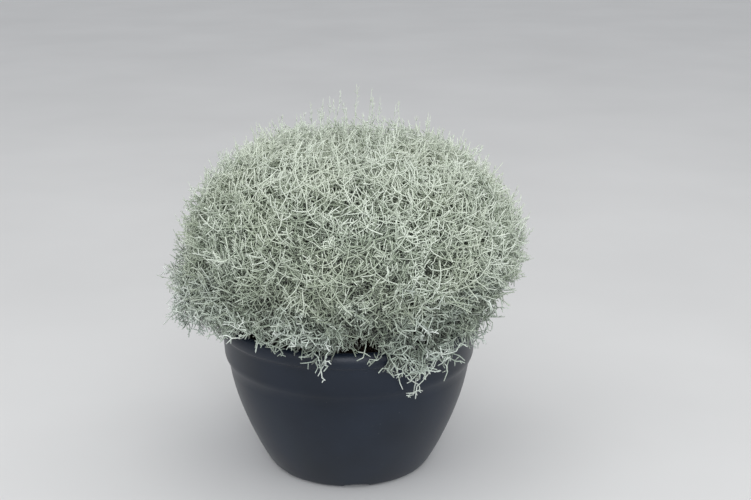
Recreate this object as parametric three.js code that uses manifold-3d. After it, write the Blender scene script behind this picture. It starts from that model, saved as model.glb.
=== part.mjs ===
// Potted cushion bush: a wide bowl pot of moulded plastic, filled with potting
// soil, and three young plants whose wiry silver twigs have grown together into
// one round cushion that hangs a little over the pot's lip.
// Millimetres, +Z up. The origin is the middle of the pot's foot, on the surface
// that it stands on. The front of the pot looks along -Y, with +X to its right.
// An azimuth is measured round the pot's axis from the front towards +X.

import * as THREE from "three";
import { mergeVertices } from "three/addons/utils/BufferGeometryUtils.js";
import Module from "manifold-3d";

// Pot
const POT_SIDES = 32;
const WALL = 2.6;
const FOOT_INNER = 77.5;
const FOOT_OUTER = 84.7;
const HEEL_RADIUS = 88.5;
const HEEL_HEIGHT = 2.5;
const FOOT_SLOPE = 3;
const FLOOR_UNDER = 6;
const FLOOR_TOP = 9;
const BOWL_STEPS = 5;
const WALL_LOW_HANDLE = 91;
const WALL_HIGH_HANDLE = { radius: 126.5, height: 66.4 };
const SHOULDER_RADIUS = 132.4;
const SHOULDER_HEIGHT = 119;
const COLLAR_BOTTOM_RADIUS = 137.1;
const COLLAR_BOTTOM = 128;
const COLLAR_TOP_RADIUS = 138.6;
const COLLAR_TOP = 157;
const LIP_RADIUS = 144.9;
const LIP_UNDER = 158.8;
const LIP_UNDER_RADIUS = 143.5;
const LIP_TURN = 165;
const LIP_CREST_RADIUS = 138.8;
const LIP_INNER_RADIUS = 135.2;
const LIP_INNER_ROLL = 6;
const POT_HEIGHT = 175;

// Six low, flat-topped arches through the foot ring let the water run out
const ARCHES = 6;
const ARCH_WIDTH = 29;
const ARCH_TOP_WIDTH = 21;
const ARCH_HEIGHT = 5.2;
const ARCH_TUNNEL = 22;
const FIRST_ARCH_AZIMUTH = 5.4;

// One round drain hole in the floor behind each arch
const DRAIN_RADIUS = 5;
const DRAIN_CIRCLE = 62;
const DRAIN_SIDES = 6;

// Soil, a little domed and rough on top
const SOIL_RIM = 149;
const SOIL_SHOULDER = 152;
const SOIL_DOME = 155;
const SOIL_GAP = 0.4;
const SOIL_STEPS = 4;
const SOIL_ROUGHNESS = 1.6;
const SOIL_LUMP = { across: 9, deep: 7, drift: 31 };

// The cushion's round outline, from the top down to its hanging edge
const CUSHION_TOP = 374;
const CUSHION_WAIST_RADIUS = 186;
const CUSHION_WAIST_HEIGHT = 247;
const CUSHION_EDGE_RADIUS = 163;
const CUSHION_EDGE_HEIGHT = 166;
const CORE_DEPTH = 29;
const CORE_EDGE_RADIUS = 154;
const CORE_EDGE_HEIGHT = 179.5;
const VAULT_HEIGHT = 218;
const VAULT_SHOULDER_RADIUS = 70;
const VAULT_FOOT_RADIUS = 124;
const VAULT_FALL = 7;
const CORE_SIDES = 36;
const CORE_STEPS = 8;
const TUFT_HEIGHT = 15;

// The whole cushion leans: low and wide on the left, high and wide on the right
const LEAN_LOW = -15;
const LEAN_HIGH = 7;
const LEAN_HEIGHTS = [195, 265];
const TUSSOCK_HEIGHT = 4;
const SWELL_HEIGHT = 6;

// Swags of the hanging edge: where each hangs, how many degrees it spans and how far
// below the round outline it droops, or above it where that is less than zero
const SWAGS = [
  { middle: 28, width: 9, depth: 44 },
  { middle: 40, width: 13, depth: 32 },
  { middle: -6, width: 5, depth: 26 },
  { middle: 5, width: 6, depth: -20 },
  { middle: -20, width: 9, depth: -26 },
  { middle: -37, width: 9, depth: -22 },
  { middle: -50, width: 14, depth: -28 },
  { middle: -90, width: 24, depth: -4 },
  { middle: 90, width: 24, depth: -18 },
  { middle: 150, width: 22, depth: 14 },
  { middle: 215, width: 20, depth: 10 },
];

// Plants: one to each third of the pot, with a cleft between neighbours
const PLANTS = ["front_right", "back", "front_left"];
const FIRST_CLEFT_AZIMUTH = 5;
const PLANT_SPACING = 120;
const CLEFT_WIDTH = 9;
const CLEFT_DEPTH = 20;
const CLEFT_LIFT = 14;
const CLEFT_GAP = 1.2;

// Twigs: plain three-sided ones, and sprays with branchlets to both sides
const TWIGS_PER_PLANT = 62;
const SPRAYS_PER_PLANT = 41;
const TWIG_RADIUS = 1.15;
const TWIG_WIDTH = 2.1;
const TIP_WIDTH = 1.3;
const TWIG_THICKNESS = 1.8;
const EDGE_DENSITY = 0.8;
const ROOT_DEPTH = 9;
const ROOTED_VOLUME = 8;
const BRANCHLETS = 4;
const BRANCHLET_START = 0.3;
const BRANCHLET_SPAN = 0.58;
const BRANCHLET_ANGLE = [42, 66];
const BRANCHLET_LENGTH = [19, 30];
const SPRAY_BEND = 0.12;
const TWIG_CLEARANCE = 3.4;
const POT_CLEARANCE = 3;
const SLANT = 36;
const TIP_REACH = [-8, 5];
const TIP_RISE = [2, 9];
const TIP_DROOP = [4, 16];
const HANGING_FROM = 0.74;
const POINT_SPACING = 3;
const ATTEMPTS = 120;
const REACH = 200;
const TOP_REACH = 398;
const BEYOND = 500;

// Stems
const STEM_BASE = 106;
const STEM_CIRCLE = 60;
const FORK_HEIGHT = 168;
const TRUNK_RADIUS = 4.4;
const BOUGH_RADIUS = 2.9;
const CROTCH_DEPTH = 5;
const KNEE_RISE = 26;
const KNEE_SHARE = 0.55;
const STEM_SIDES = 5;
const STEM_STEPS = 3;
const STEM_CLEARANCE = 0.4;

// Boughs of each plant: degrees aside of its middle, distance from the pot's axis
// and height of their ends
const BOUGHS = [
  { aside: -38, out: 114, height: 246 },
  { aside: 36, out: 110, height: 256 },
  { aside: 2, out: 130, height: 236 },
  { aside: -6, out: 46, height: 290 },
];

const wasm = await Module();
wasm.setup();

const radians = THREE.MathUtils.degToRad;
const smoothstep = THREE.MathUtils.smoothstep;
const random = seededRandom(41);

// Materials
const anthracitePlastic = new THREE.MeshStandardMaterial({
  color: 0x363a3f,
  roughness: 0.48,
  metalness: 0,
});
const moistPeat = new THREE.MeshStandardMaterial({
  color: 0x2e241c,
  roughness: 0.96,
  metalness: 0,
});
const greyBark = new THREE.MeshStandardMaterial({
  color: 0x6f6a58,
  roughness: 0.9,
  metalness: 0,
});
const silverFelt = new THREE.MeshStandardMaterial({
  color: 0xa3ac9c,
  roughness: 0.92,
  metalness: 0,
});

// A repeatable stream of numbers from 0 to 1
function seededRandom(seed) {
  let state = seed >>> 0;
  return () => {
    state = (Math.imul(state, 1664525) + 1013904223) >>> 0;
    return state / 4294967296;
  };
}

function between(low, high) {
  return low + (high - low) * random();
}

// A point given by its azimuth in degrees, its distance from the axis and its height
function place(azimuth, radius, height) {
  const angle = radians(azimuth);
  return new THREE.Vector3(radius * Math.sin(angle), -radius * Math.cos(angle), height);
}

// The solid inside a closed geometry
function solidOf(geometry) {
  const bare = geometry.clone();
  bare.deleteAttribute("normal");
  bare.deleteAttribute("uv");
  const merged = mergeVertices(bare, 1e-4);
  const corners = merged.index.array;
  const triangles = [];
  for (let i = 0; i < corners.length; i += 3) {
    const [a, b, c] = [corners[i], corners[i + 1], corners[i + 2]];
    if (a !== b && b !== c && c !== a) {
      triangles.push(a, b, c);
    }
  }
  return new wasm.Manifold(
    new wasm.Mesh({
      numProp: 3,
      vertProperties: new Float32Array(merged.attributes.position.array),
      triVerts: new Uint32Array(triangles),
    })
  );
}

function geometryOf(solid) {
  const mesh = solid.getMesh();
  const geometry = new THREE.BufferGeometry();
  geometry.setAttribute("position", new THREE.BufferAttribute(mesh.vertProperties, 3));
  geometry.setIndex(new THREE.BufferAttribute(mesh.triVerts, 1));
  geometry.computeVertexNormals();
  return geometry;
}

// A shape turned round the pot's axis, starting at the front
function turned(outline, sides) {
  return new THREE.LatheGeometry(outline, sides).rotateX(Math.PI / 2);
}

// A round stem of a few flat sides along a curve
function tube(curve, radius, steps) {
  const corners = [];
  for (let k = 0; k < STEM_SIDES; k += 1) {
    const angle = (2 * Math.PI * k) / STEM_SIDES;
    corners.push(new THREE.Vector2(radius * Math.cos(angle), radius * Math.sin(angle)));
  }
  return new THREE.ExtrudeGeometry(new THREE.Shape(corners), { steps, extrudePath: curve });
}

// The bowl's curved wall, as one curve that is moved in by the wall and the gaps
function bowlWall(inset, bottom, steps) {
  return new THREE.CubicBezierCurve(
    new THREE.Vector2(HEEL_RADIUS - inset, bottom),
    new THREE.Vector2(WALL_LOW_HANDLE - inset, bottom),
    new THREE.Vector2(WALL_HIGH_HANDLE.radius - inset, WALL_HIGH_HANDLE.height),
    new THREE.Vector2(SHOULDER_RADIUS - inset, SHOULDER_HEIGHT)
  ).getPoints(steps);
}

// A quarter of an ellipse that reaches the crest of the lip
function lipArc(height, across, from, steps) {
  const start = radians(from);
  const up = POT_HEIGHT - height;
  return new THREE.EllipseCurve(
    LIP_CREST_RADIUS, height, across, up, start, start + Math.PI / 2
  ).getPoints(steps);
}

function potGeometry() {
  const outline = [
    new THREE.Vector2(0, FLOOR_UNDER),
    new THREE.Vector2(FOOT_INNER - FOOT_SLOPE, FLOOR_UNDER),
    new THREE.Vector2(FOOT_INNER, 0),
    new THREE.Vector2(FOOT_OUTER, 0),
    ...bowlWall(0, HEEL_HEIGHT, BOWL_STEPS),
    new THREE.Vector2(COLLAR_BOTTOM_RADIUS, COLLAR_BOTTOM),
    new THREE.Vector2(COLLAR_TOP_RADIUS, COLLAR_TOP),
    new THREE.Vector2(LIP_UNDER_RADIUS, LIP_UNDER),
    ...lipArc(LIP_TURN, LIP_RADIUS - LIP_CREST_RADIUS, 0, 3),
    ...lipArc(POT_HEIGHT - LIP_INNER_ROLL, LIP_CREST_RADIUS - LIP_INNER_RADIUS, 90, 2).slice(1),
    new THREE.Vector2(COLLAR_BOTTOM_RADIUS - WALL, COLLAR_BOTTOM),
    ...bowlWall(WALL, FLOOR_TOP, BOWL_STEPS).reverse(),
    new THREE.Vector2(0, FLOOR_TOP),
  ];
  let pot = solidOf(turned(outline, POT_SIDES));
  const arch = new THREE.Shape([
    new THREE.Vector2(-ARCH_WIDTH / 2, -1),
    new THREE.Vector2(ARCH_WIDTH / 2, -1),
    new THREE.Vector2(ARCH_WIDTH / 2, 0),
    new THREE.Vector2(ARCH_TOP_WIDTH / 2, ARCH_HEIGHT),
    new THREE.Vector2(-ARCH_TOP_WIDTH / 2, ARCH_HEIGHT),
    new THREE.Vector2(-ARCH_WIDTH / 2, 0),
  ]);
  for (let k = 0; k < ARCHES; k += 1) {
    const azimuth = FIRST_ARCH_AZIMUTH + (360 / ARCHES) * k;
    const tunnel = new THREE.ExtrudeGeometry(arch, { depth: ARCH_TUNNEL, bevelEnabled: false });
    tunnel.translate(0, 0, (FOOT_INNER + FOOT_OUTER - ARCH_TUNNEL) / 2);
    tunnel.rotateX(Math.PI / 2).rotateZ(radians(azimuth));
    pot = pot.subtract(solidOf(tunnel));
    const depth = 2 * (FLOOR_TOP - FLOOR_UNDER);
    const drain = new THREE.CylinderGeometry(DRAIN_RADIUS, DRAIN_RADIUS, depth, DRAIN_SIDES);
    const middle = place(azimuth, DRAIN_CIRCLE, (FLOOR_UNDER + FLOOR_TOP) / 2);
    drain.rotateX(Math.PI / 2).translate(middle.x, middle.y, middle.z);
    pot = pot.subtract(solidOf(drain));
  }
  return geometryOf(pot);
}

function plantAzimuth(plant) {
  return FIRST_CLEFT_AZIMUTH + PLANT_SPACING * (plant + 0.5);
}

// One plant's woody stems: a trunk that forks just above the soil into boughs.
// The clearance makes the same shape a little fatter, for the hole it stands in.
function stemSolid(plant, clearance) {
  const middle = plantAzimuth(plant);
  const base = place(middle, STEM_CIRCLE, STEM_BASE - clearance);
  const fork = place(middle + 2, STEM_CIRCLE + 3, FORK_HEIGHT);
  const trunk = new THREE.LineCurve3(base, fork);
  let stems = solidOf(tube(trunk, TRUNK_RADIUS + clearance, 1));
  for (const bough of BOUGHS) {
    const start = fork.clone().setZ(FORK_HEIGHT - CROTCH_DEPTH);
    const spread = (bough.out + STEM_CIRCLE) / 2;
    const knee = place(middle + bough.aside * KNEE_SHARE, spread, FORK_HEIGHT + KNEE_RISE);
    const tip = place(middle + bough.aside, bough.out, bough.height);
    const end = tip.clone().sub(knee).setLength(clearance).add(tip);
    const curve = new THREE.QuadraticBezierCurve3(start, knee, end);
    stems = stems.add(solidOf(tube(curve, BOUGH_RADIUS + clearance, STEM_STEPS)));
  }
  return stems;
}

function soilGeometry() {
  const inset = WALL + SOIL_GAP;
  const edge = COLLAR_BOTTOM_RADIUS - inset;
  const outline = [
    new THREE.Vector2(0, FLOOR_TOP + SOIL_GAP),
    ...bowlWall(inset, FLOOR_TOP + SOIL_GAP, SOIL_STEPS),
    new THREE.Vector2(edge, COLLAR_BOTTOM),
    new THREE.Vector2(edge, SOIL_RIM),
    new THREE.Vector2(0.9 * edge, SOIL_SHOULDER),
    new THREE.Vector2(0.6 * edge, (SOIL_SHOULDER + SOIL_DOME) / 2),
    new THREE.Vector2(0, SOIL_DOME),
  ];
  const geometry = turned(outline, POT_SIDES);
  const points = geometry.attributes.position;
  for (let i = 0; i < points.count; i += 1) {
    const [x, y, z] = [points.getX(i), points.getY(i), points.getZ(i)];
    if (z > SOIL_RIM) {
      const lump = Math.sin(x / SOIL_LUMP.across + 1) * Math.cos(y / SOIL_LUMP.deep - x / SOIL_LUMP.drift);
      points.setZ(i, z + SOIL_ROUGHNESS * lump);
    }
  }
  let soil = solidOf(geometry);
  for (let plant = 0; plant < PLANTS.length; plant += 1) {
    soil = soil.subtract(stemSolid(plant, STEM_CLEARANCE));
  }
  return geometryOf(soil);
}

// The cushion's round outline, as a smooth curve of radius and height
const cushionOutline = new THREE.SplineCurve([
  new THREE.Vector2(0, CUSHION_TOP),
  new THREE.Vector2(0.52 * CUSHION_WAIST_RADIUS, CUSHION_TOP - 14),
  new THREE.Vector2(0.825 * CUSHION_WAIST_RADIUS, CUSHION_TOP - 51),
  new THREE.Vector2(0.963 * CUSHION_WAIST_RADIUS, CUSHION_TOP - 99),
  new THREE.Vector2(CUSHION_WAIST_RADIUS, CUSHION_WAIST_HEIGHT),
  new THREE.Vector2(0.965 * CUSHION_WAIST_RADIUS, CUSHION_WAIST_HEIGHT - 52),
  new THREE.Vector2(CUSHION_EDGE_RADIUS, CUSHION_EDGE_HEIGHT),
]);

// A point at a share of the outline's length, moved in along the outline's normal
function outlinePoint(share, depth) {
  const point = cushionOutline.getPointAt(share);
  const tangent = cushionOutline.getTangentAt(share);
  return new THREE.Vector2(point.x + tangent.y * depth, point.y - tangent.x * depth);
}

// How far the hanging edge droops at an azimuth, below the round outline
function droop(azimuth) {
  let total = 0;
  for (const { middle, width, depth } of SWAGS) {
    const off = THREE.MathUtils.euclideanModulo(azimuth - middle + 180, 360) - 180;
    total += depth * Math.exp(-((off / width) ** 2));
  }
  return total;
}

// How near an azimuth is to a cleft between two plants, from 0 to 1
function cleftAt(azimuth) {
  const third = THREE.MathUtils.euclideanModulo(azimuth - FIRST_CLEFT_AZIMUTH, PLANT_SPACING);
  const off = Math.min(third, PLANT_SPACING - third);
  return Math.exp(-((off / CLEFT_WIDTH) ** 2));
}

// The real place of a point of the round cushion: with its lean, clefts and swags,
// and with tussocks of shoots that stand a little higher than the rest
function grown(azimuth, radius, height) {
  const out = Math.min(radius / CUSHION_WAIST_RADIUS, 1);
  const low = 1 - smoothstep(height, CUSHION_EDGE_HEIGHT, CUSHION_WAIST_HEIGHT);
  const cleft = cleftAt(azimuth) * (0.2 + 0.8 * low);
  const lean = LEAN_LOW + (LEAN_HIGH - LEAN_LOW) * smoothstep(height, ...LEAN_HEIGHTS);
  const angle = radians(azimuth);
  const tussock = Math.sin(7 * angle + height / 17) * Math.cos(4 * angle - height / 23);
  const spread = lean * Math.sin(angle) - CLEFT_DEPTH * cleft + TUSSOCK_HEIGHT * tussock;
  const overLip = smoothstep(radius, LIP_RADIUS + 2 * POT_CLEARANCE, CUSHION_EDGE_RADIUS);
  const lift = CLEFT_LIFT * cleft * low - droop(azimuth) * low * low * overLip;
  const swell = out > 0.1 ? SWELL_HEIGHT * (1 - out) * Math.sin(radius / 14 + 5 * angle) : 0;
  return place(azimuth, radius + out * spread, height + out * lift + swell);
}

// The dense inside of the cushion: its outside is rough with short tufts, and it
// is hollow below, where the bare boughs stand
function coreSolid() {
  const vault = [
    new THREE.Vector2(0, VAULT_HEIGHT),
    new THREE.Vector2(VAULT_SHOULDER_RADIUS, VAULT_HEIGHT - VAULT_FALL),
    new THREE.Vector2(VAULT_FOOT_RADIUS, CORE_EDGE_HEIGHT + VAULT_FALL),
    new THREE.Vector2(CORE_EDGE_RADIUS, CORE_EDGE_HEIGHT),
  ];
  const plain = vault.concat(new Array(CORE_STEPS).fill(vault[3]));
  const geometry = turned(plain, CORE_SIDES);
  const jitter = [];
  for (let k = 0; k < CORE_SIDES * plain.length; k += 1) {
    jitter.push(between(-TUFT_HEIGHT / 2, TUFT_HEIGHT / 2));
  }
  const points = geometry.attributes.position;
  for (let i = 0; i < points.count; i += 1) {
    const row = i % plain.length;
    const column = Math.floor(i / plain.length) % CORE_SIDES;
    const azimuth = (360 / CORE_SIDES) * column;
    const step = row - vault.length + 1;
    let point = plain[row];
    if (step > 0) {
      const raise = step < CORE_STEPS ? jitter[row * CORE_SIDES + column] : 0;
      point = outlinePoint(1 - step / CORE_STEPS, CORE_DEPTH - raise);
    }
    const end = grown(azimuth, step < CORE_STEPS ? point.x : 0, point.y);
    points.setXYZ(i, end.x, end.y, end.z);
  }
  return solidOf(geometry);
}

// The third of the round that belongs to one plant, a little short of both clefts
function thirdSolid(plant) {
  const middle = plantAzimuth(plant);
  const half = PLANT_SPACING / 2;
  const corners = [place(middle, CLEFT_GAP / Math.sin(radians(half)), 0)];
  for (const aside of [-half, -half / 2, half / 2, half]) {
    const corner = place(middle + aside, BEYOND, 0);
    corner.add(corners[0]);
    corners.push(corner);
  }
  const shape = new THREE.Shape(corners.map((corner) => new THREE.Vector2(corner.x, corner.y)));
  return solidOf(new THREE.ExtrudeGeometry(shape, { depth: BEYOND, bevelEnabled: false }));
}

// Whether a point stays inside its plant's third and off the pot
function isFree(plant, point) {
  const margin = CLEFT_GAP + TWIG_WIDTH;
  const start = radians(FIRST_CLEFT_AZIMUTH + PLANT_SPACING * plant);
  const end = start + radians(PLANT_SPACING);
  const fromStart = point.x * Math.cos(start) + point.y * Math.sin(start);
  const fromEnd = -point.x * Math.cos(end) - point.y * Math.sin(end);
  const radius = Math.hypot(point.x, point.y);
  const offPot = point.z > POT_HEIGHT + POT_CLEARANCE || radius > LIP_RADIUS + POT_CLEARANCE;
  return fromStart > margin && fromEnd > margin && offPot;
}

// Whether a twig, given by points along it, keeps clear of its neighbours, of the
// other plants and of the pot, and stays inside the cushion
function hasRoom(plant, points, taken) {
  return points.every((point) => {
    const isAlone = taken.every((other) => other.distanceTo(point) > TWIG_CLEARANCE);
    const isWithin = Math.hypot(point.x, point.y) < REACH && point.z < TOP_REACH;
    return isAlone && isWithin && isFree(plant, point);
  });
}

// A direction to grow in, from a root in the core to the outside of the cushion:
// slanting anyhow on top and at the sides, hanging at the lower edge
function aim(azimuth, share) {
  const from = outlinePoint(share, CORE_DEPTH);
  const to = outlinePoint(share, 0);
  const root = grown(azimuth, Math.max(from.x, 0), from.y);
  const tip = grown(azimuth, Math.max(to.x, 0), to.y);
  const outward = new THREE.Vector3().subVectors(tip, root).normalize();
  const hanging = smoothstep(share, HANGING_FROM, 1);
  const sideways = new THREE.Vector3(between(-1, 1), between(-1, 1), between(-0.7, 1));
  sideways.addScaledVector(outward, -sideways.dot(outward)).multiplyScalar(SLANT);
  tip.add(sideways).addScaledVector(outward, between(...TIP_REACH));
  tip.z += between(...TIP_RISE) * (1 - hanging) - between(...TIP_DROOP) * hanging;
  const along = new THREE.Vector3().subVectors(tip, root);
  const length = along.length();
  along.normalize();
  const across = new THREE.Vector3(between(-1, 1), between(-1, 1), between(-1, 1));
  across.addScaledVector(along, -across.dot(along)).normalize();
  const flat = new THREE.Vector3().crossVectors(across, along);
  const toPlace = new THREE.Matrix4().makeBasis(across, along, flat).setPosition(root);
  return { length, toPlace };
}

// Points every few millimetres round an outline, set in its place
function pointsRound(corners, toPlace) {
  const points = [];
  corners.forEach((corner, k) => {
    const next = corners[(k + 1) % corners.length];
    const steps = Math.ceil(corner.distanceTo(next) / POINT_SPACING);
    for (let step = 0; step < steps; step += 1) {
      const point = corner.clone().lerp(next, step / steps);
      points.push(new THREE.Vector3(point.x, point.y, 0).applyMatrix4(toPlace));
    }
  });
  return points;
}

// A plain twig: three flat sides along +Y, tapering to a blunt tip
function plainTwig(length) {
  const corners = [];
  for (let k = 0; k < 3; k += 1) {
    const angle = (2 * Math.PI * k) / 3;
    corners.push(new THREE.Vector2(TWIG_RADIUS * Math.cos(angle), TWIG_RADIUS * Math.sin(angle)));
  }
  const geometry = new THREE.ExtrudeGeometry(new THREE.Shape(corners), {
    depth: length + ROOT_DEPTH,
    bevelEnabled: false,
  });
  const points = geometry.attributes.position;
  const taper = TIP_WIDTH / TWIG_WIDTH;
  for (let i = 0; i < points.count; i += 1) {
    if (points.getZ(i) > length / 2) {
      points.setXY(i, points.getX(i) * taper, points.getY(i) * taper);
    }
  }
  geometry.translate(0, 0, -ROOT_DEPTH).rotateX(-Math.PI / 2);
  const outline = [new THREE.Vector2(0, -ROOT_DEPTH), new THREE.Vector2(0, length)];
  return { geometry, outline };
}

// A spray: one flat outline along +Y. Its middle line bends gently, and each
// branchlet tapers to its tip.
function branchedSpray(length) {
  const bend = between(-SPRAY_BEND, SPRAY_BEND);
  const middleAt = (share) => bend * length * share * share;
  const sides = { left: [], right: [] };
  for (let k = 0; k < BRANCHLETS; k += 1) {
    const toRight = k % 2 === 0;
    const sign = toRight ? 1 : -1;
    const node = BRANCHLET_START + (BRANCHLET_SPAN * k) / (BRANCHLETS - 1);
    const share = node + between(-0.04, 0.04);
    const halfWidth = THREE.MathUtils.lerp(TWIG_WIDTH, TIP_WIDTH, share) / 2;
    const edge = middleAt(share) + sign * halfWidth;
    const angle = radians(between(...BRANCHLET_ANGLE));
    const reach = between(...BRANCHLET_LENGTH) * (1 - 0.4 * share);
    const foot = TWIG_WIDTH / 2 / Math.sin(angle);
    const end = new THREE.Vector2(sign * reach * Math.sin(angle), reach * Math.cos(angle));
    sides[toRight ? "right" : "left"].push(
      new THREE.Vector2(edge, length * share - foot),
      new THREE.Vector2(edge, length * share).add(end),
      new THREE.Vector2(edge, length * share + foot)
    );
  }
  const outline = [
    new THREE.Vector2(TWIG_WIDTH / 2, -ROOT_DEPTH),
    ...sides.right,
    new THREE.Vector2(middleAt(1) + TIP_WIDTH / 2, length),
    new THREE.Vector2(middleAt(1) - TIP_WIDTH / 2, length),
    ...sides.left.reverse(),
    new THREE.Vector2(-TWIG_WIDTH / 2, -ROOT_DEPTH),
  ];
  const geometry = new THREE.ExtrudeGeometry(new THREE.Shape(outline), {
    depth: TWIG_THICKNESS,
    bevelEnabled: false,
  });
  geometry.translate(0, 0, -TWIG_THICKNESS / 2);
  return { geometry, outline };
}

// One twig or spray, drawn again until it has room and is well rooted in the core
function growTwig(drawTwig, plant, spot, ground, taken) {
  for (let attempt = 0; attempt < ATTEMPTS; attempt += 1) {
    const share = THREE.MathUtils.clamp(spot.share + between(-0.02, 0.02), 0, 1);
    const { length, toPlace } = aim(spot.azimuth + between(-5, 5), share);
    const { geometry, outline } = drawTwig(length);
    const points = pointsRound(outline, toPlace);
    if (hasRoom(plant, points, taken)) {
      const solid = solidOf(geometry.applyMatrix4(toPlace));
      if (solid.intersect(ground).volume() > ROOTED_VOLUME) {
        taken.push(...points);
        return [solid];
      }
    }
  }
  return [];
}

// Places spread evenly over the cushion: a spiral of the golden angle, with as
// many places to each ring as its size asks for, and more near the hanging edge
function spreadPlaces(count, firstAzimuth) {
  const slices = 400;
  const sums = [0];
  for (let k = 0; k < slices; k += 1) {
    const share = (k + 0.5) / slices;
    const density = 1 + EDGE_DENSITY * smoothstep(share, 0.75, 1);
    sums.push(sums[k] + Math.max(cushionOutline.getPointAt(share).x, 0) * density);
  }
  const places = [];
  const goldenAngle = 180 * (3 - Math.sqrt(5));
  let slice = 0;
  for (let k = 0; k < count; k += 1) {
    const target = (sums[slices] * (k + 0.5)) / count;
    while (sums[slice + 1] < target) {
      slice += 1;
    }
    const within = (target - sums[slice]) / (sums[slice + 1] - sums[slice]);
    const azimuth = (firstAzimuth + goldenAngle * k) % 360;
    places.push({ share: (slice + within) / slices, azimuth });
  }
  return places;
}

function plantAt(azimuth) {
  const turnFromCleft = THREE.MathUtils.euclideanModulo(azimuth - FIRST_CLEFT_AZIMUTH, 360);
  return Math.floor(turnFromCleft / PLANT_SPACING);
}

function foliageGeometry(plant, core, sprayPlaces, twigPlaces) {
  const ground = core.intersect(thirdSolid(plant));
  const solids = [ground];
  const taken = [];
  for (const spot of sprayPlaces.filter(({ azimuth }) => plantAt(azimuth) === plant)) {
    solids.push(...growTwig(branchedSpray, plant, spot, ground, taken));
  }
  for (const spot of twigPlaces.filter(({ azimuth }) => plantAt(azimuth) === plant)) {
    solids.push(...growTwig(plainTwig, plant, spot, ground, taken));
  }
  const foliage = wasm.Manifold.union(solids).subtract(stemSolid(plant, STEM_CLEARANCE));
  return geometryOf(foliage);
}

const bush = new THREE.Group();

function addPiece(name, geometry, material) {
  const piece = new THREE.Mesh(geometry, material);
  piece.name = name;
  bush.add(piece);
}

addPiece("pot", potGeometry(), anthracitePlastic);
addPiece("potting_soil", soilGeometry(), moistPeat);
const core = coreSolid();
const sprayPlaces = spreadPlaces(SPRAYS_PER_PLANT * PLANTS.length, 0);
const twigPlaces = spreadPlaces(TWIGS_PER_PLANT * PLANTS.length, 70);
PLANTS.forEach((plantName, plant) => {
  addPiece(`stems_${plantName}`, geometryOf(stemSolid(plant, 0)), greyBark);
  addPiece(`foliage_${plantName}`, foliageGeometry(plant, core, sprayPlaces, twigPlaces), silverFelt);
});

export default bush;
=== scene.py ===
# Potted cushion bush: a bowl pot of moulded anthracite plastic, potting soil, and
# three plants of wiry silver twigs that have grown into one round cushion.
# Sizes are in millimetres until a mesh is made, and MM turns them to metres.
# +Z is up, the pot's front looks along -Y and +X is to its right. An azimuth is
# measured in degrees round the pot's axis, from the front towards +X.
import math

import bpy
import numpy as np
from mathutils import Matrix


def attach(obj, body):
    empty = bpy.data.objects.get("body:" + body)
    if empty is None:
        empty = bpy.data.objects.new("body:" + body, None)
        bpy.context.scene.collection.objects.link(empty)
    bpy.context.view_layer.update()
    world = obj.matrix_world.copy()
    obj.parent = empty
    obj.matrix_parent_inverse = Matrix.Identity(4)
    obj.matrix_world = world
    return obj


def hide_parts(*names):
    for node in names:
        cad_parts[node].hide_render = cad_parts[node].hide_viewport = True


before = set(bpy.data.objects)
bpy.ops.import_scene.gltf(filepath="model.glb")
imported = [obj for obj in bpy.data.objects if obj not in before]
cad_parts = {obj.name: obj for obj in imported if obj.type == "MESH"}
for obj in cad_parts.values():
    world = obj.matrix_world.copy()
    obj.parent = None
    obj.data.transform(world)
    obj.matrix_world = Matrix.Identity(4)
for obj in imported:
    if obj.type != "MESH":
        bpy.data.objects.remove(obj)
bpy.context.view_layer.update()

MM = 0.001
BODY = "root"
rng = np.random.default_rng(20)

# Camera: a short telephoto lens, looking a little down at the cushion
CAMERA_PLACE = (29, -1350, 653)
CAMERA_TILT = 73
LENS = 62.4
SENSOR_WIDTH = 36
SIGHT_METRES = 40

# Studio: each lamp's place, width, watts and colour, and what they all point at
LAMPS = {
    "overhead": ((50, -500, 2300), 3600, 24, "FFFDF8"),
    "left": ((-1800, -1700, 900), 1800, 4, "FBFCFF"),
    "right": ((1800, -1700, 500), 1800, 8, "FBFCFF"),
    "front": ((100, -2500, 1000), 1400, 28, "F4F7FF"),
}
LAMP_AIM = (0, 0, 200)
SKY_COLOUR = "E6E8EC"
SKY_STRENGTH = 0.78
FLOOR_REACH = 9000

# Pot
POT_SIDES = 128
WALL = 2.6
FOOT_INNER = 77.5
FOOT_OUTER = 84.7
FOOT_SLOPE = 3
FOOT_FLAT = 8
HEEL_RADIUS = 88.5
HEEL_HEIGHT = 2.5
FLOOR_UNDER = 6
FLOOR_TOP = 9
WALL_LOW_HANDLE = 91
WALL_HIGH_HANDLE = (126.5, 66.4)
SHOULDER_RADIUS = 132.4
SHOULDER_HEIGHT = 119
COLLAR_BOTTOM_RADIUS = 137.1
COLLAR_BOTTOM = 128
COLLAR_TOP_RADIUS = 138.6
COLLAR_TOP = 157
LIP_RADIUS = 144.9
LIP_UNDER = 158.8
LIP_UNDER_RADIUS = 143.5
LIP_TURN = 165
LIP_CREST_RADIUS = 138.8
LIP_INNER_RADIUS = 135.2
LIP_INNER_ROLL = 6
POT_HEIGHT = 175
CORNER_ROUNDING = 1.4
CORNER_SHARE = 0.45
SHARP_EDGE = 38
WALL_STEPS = 26
INNER_WALL_STEPS = 20
LIP_STEPS = 10
INNER_LIP_STEPS = 8
ARCHES = 6
ARCH_WIDTH = 29
ARCH_HEIGHT = 5.5
ARCH_TUNNEL = 22
ARCH_STEPS = 13
FIRST_ARCH_AZIMUTH = 5.4
DRAIN_RADIUS = 5
DRAIN_CIRCLE = 62
DRAIN_SIDES = 24
DRAIN_OVERCUT = 3

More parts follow.
